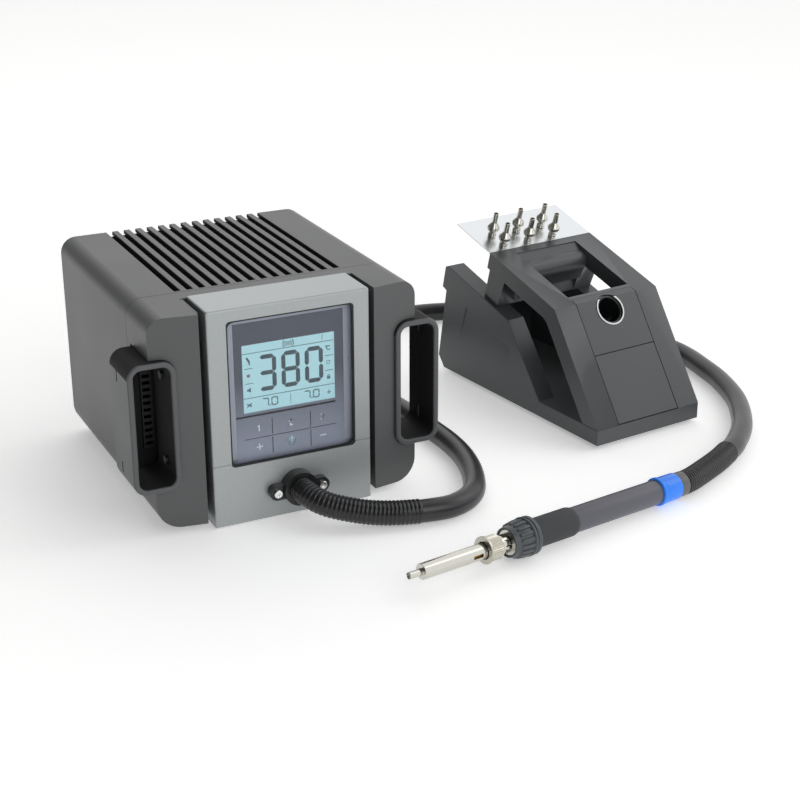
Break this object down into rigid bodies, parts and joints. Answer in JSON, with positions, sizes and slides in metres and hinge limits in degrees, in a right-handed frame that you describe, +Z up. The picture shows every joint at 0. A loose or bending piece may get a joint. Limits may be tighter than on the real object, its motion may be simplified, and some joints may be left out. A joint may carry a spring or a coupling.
{
  "type": "hot-air soldering station",
  "caption": "Bench hot-air soldering station: boxed blower unit with grab handles and touch display, air hose, hand tool, and sloped holder with a tray of spare nozzles.",
  "frame": {"origin": "on the bench under the middle of the set's box, measured without the hose", "axes": "+Z up, -Y is the front of the blower unit, +X towards the holder"},
  "size_m": [0.5425, 0.4854, 0.1594],
  "materials": {
    "case_paint": "fine-textured dark grey",
    "handle_plastic": "moulded dark grey",
    "panel_paint": "satin silver-grey paint",
    "clear_acrylic": "polished clear sheet",
    "printed_sheet": "printed dark grey",
    "lcd_glass": "backlit pale blue",
    "circuit_board": "solder-masked board",
    "bare_sheet": "plain sheet",
    "copper_winding": "varnished winding",
    "black_plastic": "moulded black",
    "white_plastic": "moulded off-white",
    "steel": "bright steel",
    "rocker_plastic": "moulded red",
    "rubber": "moulded black rubber",
    "hose_rubber": "satin black-grey silicone rubber",
    "sleeve_rubber": "corrugated black rubber",
    "blue_plastic": "moulded blue",
    "tube_plastic": "satin violet-grey",
    "grip_foam": "soft dark foam rubber",
    "nickel": "bright nickel plate",
    "mica": "wrapped heater",
    "holder_plastic": "textured dark grey"
  },
  "bodies": {
    "root": {"rear_cover": "case_paint", "front_frame": "case_paint", "handle_left": "handle_plastic", "handle_right": "handle_plastic", "panel_upper": "panel_paint", "panel_lower": "panel_paint", "gap_trim": "panel_paint", "display_window": "clear_acrylic", "display_mask": "printed_sheet", "touch_key_pad": "printed_sheet", "lcd_module": "lcd_glass", "display_board": "circuit_board", "main_board": "circuit_board", "base_pan": "bare_sheet", "blower_motor": "bare_sheet", "heat_sink": "bare_sheet", "rear_panel": "case_paint", "transformer": "copper_winding", "blower_housing": "black_plastic", "blower_cover": "black_plastic", "air_duct": "white_plastic", "hose_socket": "black_plastic", "mains_inlet": "black_plastic", "rocker_frame": "black_plastic", "vent_grilles": "black_plastic", "socket_screws": "steel", "handle_screws": "steel", "unit_feet": "rubber", "holder_feet": "rubber", "hose": "hose_rubber", "sleeve_at_unit": "sleeve_rubber", "sleeve_at_tool": "sleeve_rubber", "tool_neck": "black_plastic", "blue_ring": "blue_plastic", "tool_tube": "tube_plastic", "soft_grip": "grip_foam", "tool_collar": "black_plastic", "nozzle_bracket": "nickel", "nozzle_barrel": "nickel", "heater_core": "mica", "holder_base": "holder_plastic", "holder_frame": "holder_plastic", "insert_upper": "holder_plastic", "insert_lower": "holder_plastic", "rear_crossbar": "holder_plastic", "socket_ring": "steel", "nozzle_tray": "steel", "base_weight": "steel", "socket_liner": "black_plastic"},
    "impeller": {"blower_impeller": "white_plastic", "motor_shaft": "steel"},
    "drawer": {"fuse_drawer": "black_plastic"},
    "rocker": {"power_rocker": "rocker_plastic"},
    "nut": {"nozzle_nut": "nickel"},
    "nozzle_1": {"spare_nozzle_1": "nickel"},
    "nozzle_2": {"spare_nozzle_2": "nickel"},
    "nozzle_3": {"spare_nozzle_3": "nickel"},
    "nozzle_4": {"spare_nozzle_4": "nickel"},
    "nozzle_5": {"spare_nozzle_5": "nickel"},
    "nozzle_6": {"spare_nozzle_6": "nickel"}
  },
  "joints": [
    {"name": "impeller_spin", "type": "hinge", "parent": "root", "child": "impeller", "pos_m": [-0.084, 0.091, 0.02], "axis": [0, 0, 1], "continuous": true},
    {"name": "fuse_drawer_slide", "type": "slide", "parent": "root", "child": "drawer", "axis": [0, 1, 0], "range_m": [0, 0.018]},
    {"name": "power_rocker_tilt", "type": "hinge", "parent": "root", "child": "rocker", "pos_m": [-0.124, 0.18, 0.11], "axis": [1, 0, 0], "range_deg": [-18, 0]},
    {"name": "nozzle_nut_turn", "type": "hinge", "parent": "root", "child": "nut", "pos_m": [-0.03543, -0.17048, 0.01453], "axis": [0.9796, 0.1993, -0.0262], "continuous": true},
    {"name": "spare_nozzle_1_lift", "type": "slide", "parent": "root", "child": "nozzle_1", "axis": [0.036, -0.2733, 0.9613], "range_m": [0, 0.03]},
    {"name": "spare_nozzle_2_lift", "type": "slide", "parent": "root", "child": "nozzle_2", "axis": [0.036, -0.2733, 0.9613], "range_m": [0, 0.03]},
    {"name": "spare_nozzle_3_lift", "type": "slide", "parent": "root", "child": "nozzle_3", "axis": [0.036, -0.2733, 0.9613], "range_m": [0, 0.03]},
    {"name": "spare_nozzle_4_lift", "type": "slide", "parent": "root", "child": "nozzle_4", "axis": [0.036, -0.2733, 0.9613], "range_m": [0, 0.03]},
    {"name": "spare_nozzle_5_lift", "type": "slide", "parent": "root", "child": "nozzle_5", "axis": [0.036, -0.2733, 0.9613], "range_m": [0, 0.03]},
    {"name": "spare_nozzle_6_lift", "type": "slide", "parent": "root", "child": "nozzle_6", "axis": [0.036, -0.2733, 0.9613], "range_m": [0, 0.03]}
  ]
}
